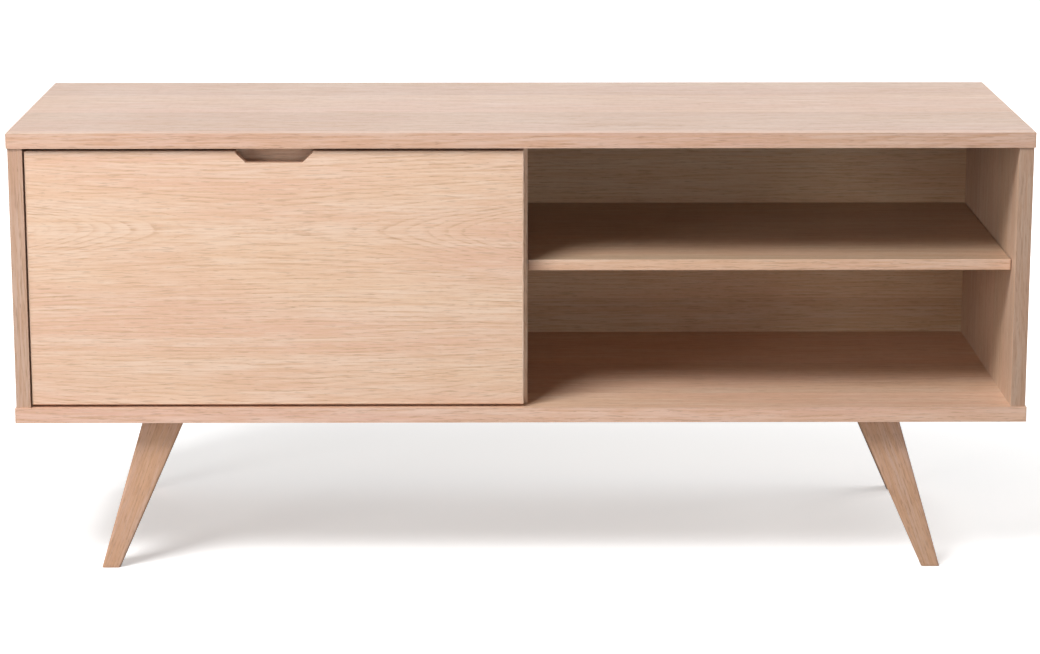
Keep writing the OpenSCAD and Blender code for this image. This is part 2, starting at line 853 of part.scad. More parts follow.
top_panel();
bottom_panel();
left_side();
right_side();
divider();
back_panel();
stop_rail();
shelf();
shelf_pins();
door();
leg(leg_corners[0]);  // leg_front_left
leg(leg_corners[1]);  // leg_front_right
leg(leg_corners[2]);  // leg_rear_left
leg(leg_corners[3]);  // leg_rear_right
leg_studs();
leg_inserts();
leg_dowels();
top_side_dowels();
bottom_side_dowels();
top_divider_dowels();
bottom_divider_dowels();
rail_dowels();
hinge_cup(hinge_xs[0]);  // hinge_cup_left
hinge_cup(hinge_xs[1]);  // hinge_cup_right
hinge_pin(hinge_xs[0]);  // hinge_pin_left
hinge_pin(hinge_xs[1]);  // hinge_pin_right
hinge_arm(hinge_xs[0]);  // hinge_arm_left
hinge_arm(hinge_xs[1]);  // hinge_arm_right
hinge_cup_screws();
hinge_arm_screws();
stay_arm();
stay_door_bracket();
stay_door_screws();
stay_rivet();
stay_side_plate();
stay_side_screws();
stay_guide_stud();
catch_housing();
catch_magnet();
catch_screws();
catch_strike();
catch_strike_screw();
door_bumpers();
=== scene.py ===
import json
import math

import bpy
from mathutils import Euler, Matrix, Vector


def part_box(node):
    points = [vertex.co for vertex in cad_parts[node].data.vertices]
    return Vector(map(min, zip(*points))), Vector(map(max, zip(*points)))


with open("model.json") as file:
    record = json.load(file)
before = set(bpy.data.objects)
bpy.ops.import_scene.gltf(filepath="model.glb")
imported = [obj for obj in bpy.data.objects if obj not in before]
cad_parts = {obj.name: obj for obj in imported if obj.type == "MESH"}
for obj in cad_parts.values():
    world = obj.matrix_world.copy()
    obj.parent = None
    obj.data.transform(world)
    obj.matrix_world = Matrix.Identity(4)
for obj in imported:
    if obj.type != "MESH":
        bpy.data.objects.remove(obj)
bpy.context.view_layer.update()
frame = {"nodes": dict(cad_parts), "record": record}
cadNodes = frame["nodes"]
print("frame loaded:", len(cadNodes), "parts")


# small helpers for node trees

def plug(tree, value, socket):
    if isinstance(value, bpy.types.NodeSocket):
        tree.links.new(value, socket)
    else:
        socket.default_value = value


def calc(tree, operation, first, second=0.0, third=0.0):
    node = tree.nodes.new("ShaderNodeMath")
    node.operation = operation
    for socket, value in zip(node.inputs, (first, second, third)):
        plug(tree, value, socket)
    return node.outputs[0]


def vectorCalc(tree, operation, first, second=(0, 0, 0)):
    node = tree.nodes.new("ShaderNodeVectorMath")
    node.operation = operation
    plug(tree, first, node.inputs[0])
    plug(tree, second, node.inputs[1])
    return node.outputs["Value"] if operation == "LENGTH" else node.outputs["Vector"]


def ramp(tree, value, low, high, outLow=0.0, outHigh=1.0):
    node = tree.nodes.new("ShaderNodeMapRange")
    node.interpolation_type = "SMOOTHSTEP"
    for socket, item in zip(node.inputs, (value, low, high, outLow, outHigh)):
        plug(tree, item, socket)
    return node.outputs[0]


def noise(tree, vector, scale, detail=2.0, roughness=0.5):
    node = tree.nodes.new("ShaderNodeTexNoise")
    plug(tree, vector, node.inputs["Vector"])
    plug(tree, scale, node.inputs["Scale"])
    node.inputs["Detail"].default_value = detail
    node.inputs["Roughness"].default_value = roughness
    return node.outputs[0]


def grainNoise(tree, axes, waves, detail=2.0, roughness=0.5):
    # waves per metre along the grain (x) and across it (y and z)
    x, y, z = axes
    along, across = waves
    place = join(tree, calc(tree, "MULTIPLY", x, along), calc(tree, "MULTIPLY", y, across),
                 calc(tree, "MULTIPLY", z, across))
    return noise(tree, place, 1.0, detail, roughness)


def mixColour(tree, amount, first, second, blend="MIX"):
    node = tree.nodes.new("ShaderNodeMix")
    node.data_type = "RGBA"
    node.blend_type = blend
    node.clamp_factor = True
    plug(tree, amount, node.inputs[0])
    plug(tree, first, node.inputs[6])
    plug(tree, second, node.inputs[7])
    return node.outputs[2]


def mixVector(tree, amount, first, second):
    node = tree.nodes.new("ShaderNodeMix")
    node.data_type = "VECTOR"
    plug(tree, amount, node.inputs[0])
    plug(tree, first, node.inputs[4])
    plug(tree, second, node.inputs[5])
    return node.outputs[1]


def split(tree, vector):
    node = tree.nodes.new("ShaderNodeSeparateXYZ")
    plug(tree, vector, node.inputs[0])
    return node.outputs[0], node.outputs[1], node.outputs[2]


def join(tree, x, y, z):
    node = tree.nodes.new("ShaderNodeCombineXYZ")
    for socket, value in zip(node.inputs, (x, y, z)):
        plug(tree, value, socket)
    return node.outputs[0]


def newGroup(name, inputs, outputs):
    kinds = {"value": "NodeSocketFloat", "vector": "NodeSocketVector", "colour": "NodeSocketColor"}
    tree = bpy.data.node_groups.new(name, "ShaderNodeTree")
    for label, kind, start in inputs:
        socket = tree.interface.new_socket(label, in_out="INPUT", socket_type=kinds[kind])
        socket.default_value = start
    for label, kind in outputs:
        tree.interface.new_socket(label, in_out="OUTPUT", socket_type=kinds[kind])
    return tree, tree.nodes.new("NodeGroupInput").outputs, tree.nodes.new("NodeGroupOutput").inputs


def useGroup(tree, group, **values):
    node = tree.nodes.new("ShaderNodeGroup")
    node.node_tree = group
    for label, value in values.items():
        plug(tree, value, node.inputs[label])
    return node.outputs


def colour(red, green, blue):
    return (red, green, blue, 1.0)


def tinted(base, factor):
    return (base[0] * factor, base[1] * factor, base[2] * factor, 1.0)


# shared effects

ringLook = {
    "slow": (2.2, 11.0), "quick": (9.0, 70.0),  # waves per metre along and across
    "swayAcross": 2.0, "swayDepth": 0.7,        # how much of the sway moves hearts and rings
    "ragged": 0.0035,                           # metres by which fibres break up a ring
    "full": 0.15, "end": 0.62,                  # where in a ring its open pores peak and stop
    "faint": 0.30, "change": 0.43,              # the faintest ring, and how quickly rings differ
    "broken": (0.30, 0.62, 0.45, 1.0),          # noise from and to, strength from and to
    "strong": (0.34, 0.62), "porous": (0.1, 0.7, 0.25, 1.0),
}


def makeGrowthRings():
    # rings of a flat-sawn board: x runs along the grain, y across the face, z into the board
    tree, given, out = newGroup(
        "growthRings",
        [("Place", "vector", (0, 0, 0)), ("HeartX", "value", 0.0), ("HeartY", "value", 0.0),
         ("HeartDepth", "value", 0.05), ("HeartWidth", "value", 0.05),
         ("HeartGap", "value", 0.14), ("Bow", "value", 0.3),
         ("RingWidth", "value", 0.006), ("Waver", "value", 0.012)],
        [("Line", "value"), ("Porous", "value"), ("Drift", "value")])
    x, y, z = split(tree, given["Place"])
    slow = grainNoise(tree, (x, y, z), ringLook["slow"])
    quick = grainNoise(tree, (x, y, z), ringLook["quick"], roughness=0.6)
    sway = calc(tree, "MULTIPLY", calc(tree, "SUBTRACT", slow, 0.5), given["Waver"])
    across = calc(tree, "ADD", calc(tree, "SUBTRACT", y, given["HeartY"]),
                  calc(tree, "MULTIPLY", sway, ringLook["swayAcross"]))
    across = calc(tree, "PINGPONG", across, calc(tree, "MULTIPLY", given["HeartGap"], 0.5))
    depth = calc(tree, "ADD", given["HeartDepth"], z)
    radius = calc(tree, "SQRT", calc(tree, "ADD", calc(tree, "MULTIPLY", across, across),
                                     calc(tree, "MULTIPLY", depth, depth)))
    along = calc(tree, "SUBTRACT", x, given["HeartX"])
    arch = calc(tree, "MULTIPLY", calc(tree, "MULTIPLY", along, along), given["Bow"])
    width = calc(tree, "MULTIPLY", given["HeartWidth"], given["HeartWidth"])
    nearHeart = calc(tree, "DIVIDE", width, calc(tree, "MULTIPLY_ADD", across, across, width))
    arch = calc(tree, "MULTIPLY", arch, nearHeart)
    reach = calc(tree, "SUBTRACT", radius, arch)
    reach = calc(tree, "MULTIPLY_ADD", sway, ringLook["swayDepth"], reach)
    reach = calc(tree, "MULTIPLY_ADD", calc(tree, "SUBTRACT", quick, 0.5), ringLook["ragged"],
                 reach)
    count = calc(tree, "DIVIDE", reach, given["RingWidth"])
    part = calc(tree, "FRACT", count)
    early = calc(tree, "MULTIPLY", ramp(tree, part, 0.0, ringLook["full"]),
                 ramp(tree, part, ringLook["end"], ringLook["full"]))
    early = calc(tree, "MULTIPLY", early, ramp(tree, quick, *ringLook["broken"]))
    strength = tree.nodes.new("ShaderNodeTexNoise")
    strength.noise_dimensions = "1D"
    plug(tree, calc(tree, "MULTIPLY", count, ringLook["change"]), strength.inputs["W"])
    strength.inputs["Scale"].default_value = 1.0
    strength.inputs["Detail"].default_value = 1.0
    vary = ramp(tree, strength.outputs[0], *ringLook["strong"], ringLook["faint"], 1.0)
    plug(tree, calc(tree, "MULTIPLY", early, vary), out["Line"])
    plug(tree, ramp(tree, early, *ringLook["porous"]), out["Porous"])
    plug(tree, slow, out["Drift"])
    return tree


# waves per metre along and across the grain
fibreWaves = {"streak": (16.0, 420.0), "broad": (3.5, 75.0), "dash": (42.0, 560.0),
              "pore": (110.0, 1400.0), "fleck": (70.0, 500.0)}
# where each starts and is full in its noise
fibreRange = {"dash": (0.57, 0.74), "pore": (0.56, 0.72), "fleck": (0.66, 0.78)}


def makeWoodFibre():
    # streaks of fibre and the short dark pores between them, both drawn out along x
    tree, given, out = newGroup(
        "woodFibre",
        [("Place", "vector", (0, 0, 0)), ("Stretch", "value", 1.0), ("PoreSize", "value", 1.0)],
        [("Streak", "value"), ("Broad", "value"), ("Dash", "value"), ("Pore", "value"),
         ("Fleck", "value")])
    x, y, z = split(tree, given["Place"])
    axes = (calc(tree, "DIVIDE", x, given["Stretch"]), y, z)
    plug(tree, grainNoise(tree, axes, fibreWaves["streak"], 3.0, 0.6), out["Streak"])
    plug(tree, grainNoise(tree, axes, fibreWaves["broad"]), out["Broad"])
    dash = grainNoise(tree, axes, fibreWaves["dash"], 1.0)
    plug(tree, ramp(tree, dash, *fibreRange["dash"]), out["Dash"])
    along, across = fibreWaves["pore"]
    pore = grainNoise(tree, axes, (along, calc(tree, "DIVIDE", across, given["PoreSize"])), 1.0)
    plug(tree, ramp(tree, pore, *fibreRange["pore"]), out["Pore"])
    fleck = grainNoise(tree, axes, fibreWaves["fleck"], 0.0)
    plug(tree, ramp(tree, fleck, *fibreRange["fleck"]), out["Fleck"])
    return tree


# how far in metres a leaf may start from its neighbour, and how wide its joint is
leafLook = {"shift": (0.6, 0.054, 0.030), "seed": 17.3, "joint": 0.0006}


def makeVeneerLeaves():
    # a face laid up from sheets side by side: each leaf starts elsewhere in the log
    tree, given, out = newGroup(
        "veneerLeaves",
        [("Place", "vector", (0, 0, 0)), ("LeafWidth", "value", 0.14), ("Start", "value", 0.0)],
        [("Place", "vector"), ("Tone", "value"), ("Joint", "value")])
    x, y, z = split(tree, given["Place"])
    place = calc(tree, "DIVIDE", calc(tree, "ADD", y, given["Start"]), given["LeafWidth"])
    leaf = calc(tree, "FLOOR", place)
    inLeaf = calc(tree, "SUBTRACT", place, leaf)
    odd = tree.nodes.new("ShaderNodeTexWhiteNoise")
    odd.noise_dimensions = "1D"
    plug(tree, calc(tree, "ADD", leaf, leafLook["seed"]), odd.inputs["W"])
    shift = vectorCalc(tree, "MULTIPLY", odd.outputs["Color"], leafLook["shift"])
    centred = calc(tree, "MULTIPLY", calc(tree, "SUBTRACT", inLeaf, 0.5), given["LeafWidth"])
    plug(tree, vectorCalc(tree, "ADD", join(tree, x, centred, z), shift), out["Place"])
    plug(tree, calc(tree, "SUBTRACT", odd.outputs["Value"], 0.5), out["Tone"])
    edge = calc(tree, "MINIMUM", inLeaf, calc(tree, "SUBTRACT", 1.0, inLeaf))
    near = calc(tree, "MULTIPLY", edge, given["LeafWidth"])
    plug(tree, ramp(tree, near, 0.0, leafLook["joint"], 1.0, 0.0), out["Joint"])
    return tree


edgeLook = {
    "lipping": 0.0011, "glueLine": 0.00025, "corner": 0.0022,  # metres
    "onFace": (0.0002, 0.0008),                                # metres off the surface
    "patches": 38.0, "wornAndHighlight": (0.3, 0.7, 0.35, 1.0),            # patches per metre of wear and painted highlight
}


def makeBoardEdges():
    # where a board's own edges are: the glue line of its lipping, and the corners, lightened in
    # patches by wear and by a painted highlight
    tree, given, out = newGroup(
        "boardEdges",
        [("Place", "vector", (0, 0, 0)), ("Low", "vector", (0, 0, 0)),
         ("High", "vector", (0, 0, 0)), ("Lipping", "value", 0.001)],
        [("Seam", "value"), ("Corner", "value"), ("FrontBand", "value"), ("EndBand", "value")])
    fromLow = vectorCalc(tree, "SUBTRACT", given["Place"], given["Low"])
    fromHigh = vectorCalc(tree, "SUBTRACT", given["High"], given["Place"])
    x, y, z = split(tree, vectorCalc(tree, "MINIMUM", fromLow, fromHigh))
    least = calc(tree, "MINIMUM", x, calc(tree, "MINIMUM", y, z))
    most = calc(tree, "MAXIMUM", x, calc(tree, "MAXIMUM", y, z))
    middle = calc(tree, "SUBTRACT", calc(tree, "ADD", x, calc(tree, "ADD", y, z)),
                  calc(tree, "ADD", least, most))
    off = calc(tree, "ABSOLUTE", calc(tree, "SUBTRACT", middle, given["Lipping"]))
    onFace = ramp(tree, least, *edgeLook["onFace"], 1.0, 0.0)
    glue = ramp(tree, off, 0.0, edgeLook["glueLine"], 1.0, 0.0)
    plug(tree, calc(tree, "MULTIPLY", glue, onFace), out["Seam"])
    plug(tree, calc(tree, "LESS_THAN", x, given["Lipping"]), out["EndBand"])
    frontDepth = split(tree, fromLow)[1]
    plug(tree, calc(tree, "LESS_THAN", frontDepth, given["Lipping"]), out["FrontBand"])
    patchy = noise(tree, given["Place"], edgeLook["patches"], 3.0, 0.6)
    corner = ramp(tree, middle, 0.0, edgeLook["corner"], 1.0, 0.0)
    wornAndHighlight = ramp(tree, patchy, *edgeLook["wornAndHighlight"])
    plug(tree, calc(tree, "MULTIPLY", corner, wornAndHighlight), out["Corner"])
    return tree


handlingLook = {"cloud": (0.3, 0.7), "dust": (0.66, 0.8), "specks": 140.0}  # specks to a cloud


def makeHandling():
    # faint clouding from hands and cloths, and a scatter of fine dust
    tree, given, out = newGroup(
        "handling", [("Place", "vector", (0, 0, 0)), ("Size", "value", 6.0)],
        [("Cloud", "value"), ("Dust", "value")])
    cloud = noise(tree, given["Place"], given["Size"], 4.0, 0.6)
    plug(tree, ramp(tree, cloud, *handlingLook["cloud"]), out["Cloud"])
    fine = calc(tree, "MULTIPLY", given["Size"], handlingLook["specks"])
    dust = noise(tree, given["Place"], fine, 1.0)
    plug(tree, ramp(tree, dust, *handlingLook["dust"]), out["Dust"])
    return tree


# waves per metre, and where a pit starts and is full
platingLook = {"grain": (90.0, 2600.0), "mottle": 160.0, "pits": 1500.0, "pit": (0.68, 0.78)}


def makePlating():
    # bright plating: a drawn grain along x, soft mottling and tiny pits
    tree, given, out = newGroup(
        "plating", [("Place", "vector", (0, 0, 0))],
        [("Tone", "value"), ("Grain", "value"), ("Pit", "value")])
    axes = split(tree, given["Place"])
    plug(tree, grainNoise(tree, axes, platingLook["grain"]), out["Grain"])
    plug(tree, noise(tree, given["Place"], platingLook["mottle"], 3.0, 0.6), out["Tone"])
    pits = noise(tree, given["Place"], platingLook["pits"], 1.0)
    plug(tree, ramp(tree, pits, *platingLook["pit"]), out["Pit"])
    return tree


growthRings = makeGrowthRings()
woodFibre = makeWoodFibre()
veneerLeaves = makeVeneerLeaves()
boardEdges = makeBoardEdges()
handling = makeHandling()
plating = makePlating()
print("shared effects ready")


def newMaterial(name):
    material = bpy.data.materials.new(name)
    material.use_nodes = True
    tree = material.node_tree
    shader = tree.nodes["Principled BSDF"]
    place = tree.nodes.new("ShaderNodeTexCoord").outputs["Object"]
    return material, tree, shader, place


def turned(tree, place, turn, offset=(0.0, 0.0, 0.0)):
    node = tree.nodes.new("ShaderNodeMapping")
    plug(tree, place, node.inputs["Vector"])
    node.inputs["Rotation"].default_value = turn
    node.inputs["Location"].default_value = offset
    return node.outputs[0]


def bumped(tree, shader, height, distance):
    node = tree.nodes.new("ShaderNodeBump")
    node.inputs["Strength"].default_value = 1.0
    node.inputs["Distance"].default_value = distance
    plug(tree, height, node.inputs["Height"])
    tree.links.new(node.outputs[0], shader.inputs["Normal"])


# oak

# turns that lay the grain along the length, up the board or across it
grainTurn = {
    "lengthFlat": (0.0, 0.0, 0.0),
    "lengthUpright": (math.radians(-90), 0.0, 0.0),
    "upright": (0.0, math.radians(90), 0.0),
    "crosswise": (0.0, 0.0, math.radians(-90)),
}

oakTones = {
    "pale": (0.735, 0.510, 0.355),
    "warm": (0.665, 0.425, 0.280),
    "dark": (0.430, 0.262, 0.160),
    "rose": (0.705, 0.448, 0.322),
    "whitened": (0.765, 0.585, 0.462),
}

# offset, leaf, start: place in the log, width of a veneer leaf, where the first one begins
# face, under: the way a board shows, and how deep the log's middle lies below that face
# heart, gap, width, bow: where rings arch, how far apart, how wide and how strongly
# ring, waver: metres between rings and how far they stray
# tone, wash and the front band tint: brightness, tint of the board and tint of its front band;
# some front band tints are fitted to how each edge is lit, so they hold painted light and painted
# shade as well as the edge veneer's own tone
boardLooks = {
    # the top's lowered tone is painted shade against the strong light from above; its front band
    # is raised so the edge keeps its brightness, painted light
    "top_panel": {
        "turn": "lengthFlat", "endTurn": "crosswise", "offset": (0.3, 0.0, 0.0),
        "leaf": 0.138, "start": 0.46, "face": "up", "under": 0.03,
        "heart": (0.5, 0.0), "gap": 0.138, "width": 0.03, "bow": 0.1,
        "ring": 0.0052, "waver": 0.016, "contrast": 1.75, "figure": 1.6,
        "tone": 0.80, "wash": (0.94, 0.94, 1.0), "bandToneAndLight": (1.18, 1.09, 1.03)},
    "bottom_panel": {
        "turn": "lengthFlat", "endTurn": "crosswise", "offset": (1.9, 0.0, 0.0),
        "leaf": 0.15, "start": 0.43, "face": "up", "under": 0.03,
        "heart": (2.4, 0.0), "gap": 0.15, "width": 0.03, "bow": 0.1,
        "ring": 0.0052, "waver": 0.016, "contrast": 1.7, "figure": 1.5,
        "tone": 1.01, "wash": (0.99, 0.97, 0.96), "bandToneAndLight": (1.02, 0.99, 1.03)},
    # the shelf's front band is brightened: painted light on its edge, which lies in the shade of
    # the bay
    "shelf": {
        "turn": "lengthFlat", "endTurn": "crosswise", "offset": (3.1, 0.0, 0.0),
        "leaf": 0.125, "start": 0.52, "face": "up", "under": 0.03,
        "heart": (3.7, 0.0), "gap": 0.125, "width": 0.03, "bow": 0.1,
        "ring": 0.0052, "waver": 0.016, "contrast": 1.4, "figure": 1.2,
        "tone": 0.85, "wash": (0.93, 0.93, 0.87), "bandToneAndLight": (1.34, 1.26, 1.3)},
    "door": {
        "turn": "lengthUpright", "endTurn": "upright", "offset": (0.0, 0.0, 0.0),
        "leaf": 0.0, "start": 0.0, "face": "front", "under": 0.032,
        "heart": (-0.297, 0.4175), "gap": 0.224, "width": 0.035, "bow": 0.6,
        "ring": 0.005, "waver": 0.012, "contrast": 1.35, "figure": 1.8,
        "tone": 1.1, "wash": (1.0, 1.0, 1.0), "bandToneAndLight": (1.0, 1.0, 1.0)},
    "back_panel": {
        "turn": "lengthUpright", "endTurn": "upright", "offset": (5.3, 0.0, 0.0),
        "leaf": 0.19, "start": 0.32, "face": "front", "under": 0.03,
        "heart": (5.6, 0.0), "gap": 0.19, "width": 0.03, "bow": 0.12,
        "ring": 0.0052, "waver": 0.016, "contrast": 1.5, "figure": 1.2,
        "tone": 0.88, "wash": (1.0, 0.98, 0.85), "bandToneAndLight": (1.0, 1.0, 1.0)},
    # the stop rail's high tone is painted light on a rail that sits in shade behind the door's
    # notch
    "stop_rail": {
        "turn": "lengthUpright", "endTurn": "upright", "offset": (0.4, 0.0, 0.0),
        "leaf": 0.0, "start": 0.0, "face": "front", "under": 0.034,
        "heart": (-0.1, 0.6), "gap": 0.3, "width": 0.05, "bow": 0.02,
        "ring": 0.005, "waver": 0.01, "contrast": 1.2, "figure": 1.2,
        "tone": 1.17, "wash": (1.0, 1.0, 1.0), "bandToneAndLight": (1.0, 1.0, 1.0)},
    "left_side": {
        "turn": "upright", "endTurn": None, "offset": (7.7, 0.0, 0.0),
        "leaf": 0.132, "start": 0.4, "face": "left", "under": 0.03,
        "heart": (7.4, 0.0), "gap": 0.132, "width": 0.03, "bow": 0.12,
        "ring": 0.0052, "waver": 0.016, "contrast": 1.5, "figure": 1.2,
        "tone": 0.87, "wash": (0.98, 0.985, 0.99), "bandToneAndLight": (0.86, 0.8, 0.78)},
    # the right side's front band is darker than the left side's: painted shade, as the light falls
    # off towards the right
    "right_side": {
        "turn": "upright", "endTurn": None, "offset": (9.1, 0.0, 0.0),
        "leaf": 0.132, "start": 0.45, "face": "left", "under": 0.03,
        "heart": (8.8, 0.0), "gap": 0.132, "width": 0.03, "bow": 0.12,
        "ring": 0.0052, "waver": 0.016, "contrast": 1.5, "figure": 1.2,
        "tone": 0.87, "wash": (0.98, 0.985, 0.97), "bandToneAndLight": (0.75, 0.695, 0.67)},
    # the divider's front band is brightened: painted light on an edge that lies in shade beside
    # the door
    "divider": {
        "turn": "upright", "endTurn": None, "offset": (11.6, 0.0, 0.0),
        "leaf": 0.128, "start": 0.43, "face": "left", "under": 0.03,
        "heart": (11.3, 0.0), "gap": 0.128, "width": 0.03, "bow": 0.12,
        "ring": 0.0052, "waver": 0.016, "contrast": 1.5, "figure": 1.2,
        "tone": 0.93, "wash": (0.98, 0.985, 0.97), "bandToneAndLight": (1.3, 1.3, 1.3)},
}


def heartDepth(look, low, high):
    # how far the log's middle lies behind the board's face, on the laid-out z axis
    faces = {"up": high.z, "front": -low.y, "left": -low.x}
    return look["under"] - faces[look["face"]]


# where each part of the grain starts and is full in its noise, and how strongly it shows
oakGrain = {
    "rose": (0.36, 0.64, 1.0),
    "whitened": (0.38, 0.66, 0.60),
    "ringCore": (0.30, 0.90, 0.30),
    "streak": (0.56, 0.34, 0.55),
    "paleStreak": (0.52, 0.70, 0.45),
}
oakMarks = {"ring": 0.62, "dash": 0.32, "pore": 0.55, "fleck": 0.25}
ringBreaks = (0.62, 0.36, 0.40, 1.0)  # rings fade where the streaks are pale


def oakColour(tree, rings, fibre, tone, contrast, figure, tones=oakTones):
    pale, warm, dark, rose, whitened = (
        colour(*tones[name]) for name in ("pale", "warm", "dark", "rose", "whitened"))
    streak = fibre["Streak"]

    def grain(name, value, strength=1.0):
        start, full, most = oakGrain[name]
        return ramp(tree, value, start, full, 0.0, most * strength)

    def mark(name, value, strength=1.0):
        return calc(tree, "MULTIPLY", value, oakMarks[name] * strength)

    base = mixColour(tree, grain("rose", rings["Drift"]), pale, rose)
    base = mixColour(tree, grain("whitened", fibre["Broad"]), base, whitened)
    line = calc(tree, "MULTIPLY", rings["Line"], ramp(tree, streak, *ringBreaks))
    base = mixColour(tree, mark("ring", line, figure), base, warm)
    base = mixColour(tree, grain("ringCore", line, figure), base, dark)
    base = mixColour(tree, grain("streak", streak, contrast), base, warm)
    base = mixColour(tree, grain("paleStreak", streak), base, whitened)
    base = mixColour(tree, mark("dash", fibre["Dash"], contrast), base, dark)
    pore = calc(tree, "MULTIPLY", fibre["Pore"], rings["Porous"])
    base = mixColour(tree, mark("pore", pore), base, dark)
    base = mixColour(tree, mark("fleck", fibre["Fleck"]), base, whitened)
    return mixColour(tree, 1.0, base, join(tree, tone, tone, tone), "MULTIPLY")


boardFinish = {
    "leafTone": 0.10, "seam": 0.35, "corner": 0.22, "joint": 0.25,
    "clouds": 5.0, "rough": 0.46, "cloudRough": 0.07, "poreRough": 0.18, "dustRough": 0.06,
    "poreRise": -0.6, "ringRise": -0.35, "seamRise": -0.6, "relief": 0.00018,
}


def makeOakBoard(name, look):
    material, tree, shader, place = newMaterial("oak_" + name)
    low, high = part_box(name)
    edges = useGroup(tree, boardEdges, Place=place, Low=tuple(low), High=tuple(high),
                     Lipping=edgeLook["lipping"])
    laid = turned(tree, place, grainTurn[look["turn"]], look["offset"])
    if look["endTurn"]:
        bandLaid = turned(tree, place, grainTurn[look["endTurn"]], look["offset"])
        laid = mixVector(tree, edges["EndBand"], laid, bandLaid)
    tone = look["tone"]
    if look["leaf"]:
        leaves = useGroup(tree, veneerLeaves, Place=laid, LeafWidth=look["leaf"],
                          Start=look["start"])
        laid = leaves["Place"]
        tone = calc(tree, "MULTIPLY_ADD", leaves["Tone"], boardFinish["leafTone"], tone)
    rings = useGroup(tree, growthRings, Place=laid, HeartX=look["heart"][0],
                     HeartY=look["heart"][1], HeartDepth=heartDepth(look, low, high),
                     HeartWidth=look["width"], HeartGap=look["gap"], Bow=look["bow"],
                     RingWidth=look["ring"], Waver=look["waver"])
    fibre = useGroup(tree, woodFibre, Place=laid, Stretch=1.0, PoreSize=1.0)
    marks = useGroup(tree, handling, Place=place, Size=boardFinish["clouds"])
    base = oakColour(tree, rings, fibre, tone, look["contrast"], look["figure"])
    base = mixColour(tree, 1.0, base, colour(*look["wash"]), "MULTIPLY")
    # front band tint: the edge veneer's own tone, plus painted light and painted shade where the
    # tint is fitted to how each edge is lit
    base = mixColour(tree, edges["FrontBand"], base, colour(*look["bandToneAndLight"]), "MULTIPLY")
    dark = colour(*oakTones["dark"])
    whitened = colour(*oakTones["whitened"])
    seam = calc(tree, "MULTIPLY", edges["Seam"], boardFinish["seam"])
    base = mixColour(tree, seam, base, dark)
    # corners lightened towards the whitened tone: partly wear, partly a painted highlight along
    # the edges
    corner = calc(tree, "MULTIPLY", edges["Corner"], boardFinish["corner"])
    base = mixColour(tree, corner, base, whitened)
    if look["leaf"]:
        joint = calc(tree, "MULTIPLY", leaves["Joint"], boardFinish["joint"])
        base = mixColour(tree, joint, base, dark)
    tree.links.new(base, shader.inputs["Base Color"])
    rough = calc(tree, "MULTIPLY_ADD", marks["Cloud"], boardFinish["cloudRough"],
                 boardFinish["rough"])
    rough = calc(tree, "MULTIPLY_ADD", fibre["Pore"], boardFinish["poreRough"], rough)
    rough = calc(tree, "MULTIPLY_ADD", marks["Dust"], boardFinish["dustRough"], rough)
    tree.links.new(rough, shader.inputs["Roughness"])
    height = calc(tree, "MULTIPLY_ADD", fibre["Pore"], boardFinish["poreRise"], fibre["Streak"])
    height = calc(tree, "MULTIPLY_ADD", rings["Line"], boardFinish["ringRise"], height)
    height = calc(tree, "MULTIPLY_ADD", edges["Seam"], boardFinish["seamRise"], height)
    bumped(tree, shader, height, boardFinish["relief"])
    return material


legTones = {
    "pale": (0.665, 0.402, 0.244),
    "warm": (0.560, 0.315, 0.180),
    "dark": (0.350, 0.190, 0.112),
    "rose": (0.625, 0.355, 0.232),
    "whitened": (0.630, 0.425, 0.332),
}

legLooks = {
    "leg_front_left": {"side": -1, "offset": (0.4, 0.0, 0.02)},
    "leg_front_right": {"side": 1, "offset": (1.7, 0.02, 0.0)},
    "leg_rear_left": {"side": -1, "offset": (2.9, 0.01, 0.05)},
    "leg_rear_right": {"side": 1, "offset": (4.2, 0.03, 0.01)},
}

# settings of the growth rings in every leg
legRings = {"HeartX": 0.1, "HeartY": -0.06, "HeartDepth": 0.05, "HeartWidth": 0.05,
            "HeartGap": 0.4, "Bow": 0.05, "RingWidth": 0.0036, "Waver": 0.008}

legFinish = {
    "lean": 0.069,                        # metres that a leg runs out from top to foot
    "footDarkening": 0.25, "footDarkHeight": 0.004,  # the foot's darker rim
    "contrast": 1.3, "figure": 1.3, "stretch": 0.8, "poreSize": 1.1,
    "clouds": 9.0, "rough": 0.44, "cloudRough": 0.08, "poreRough": 0.20,
    "poreRise": -0.6, "ringRise": -0.4, "relief": 0.0002,
}


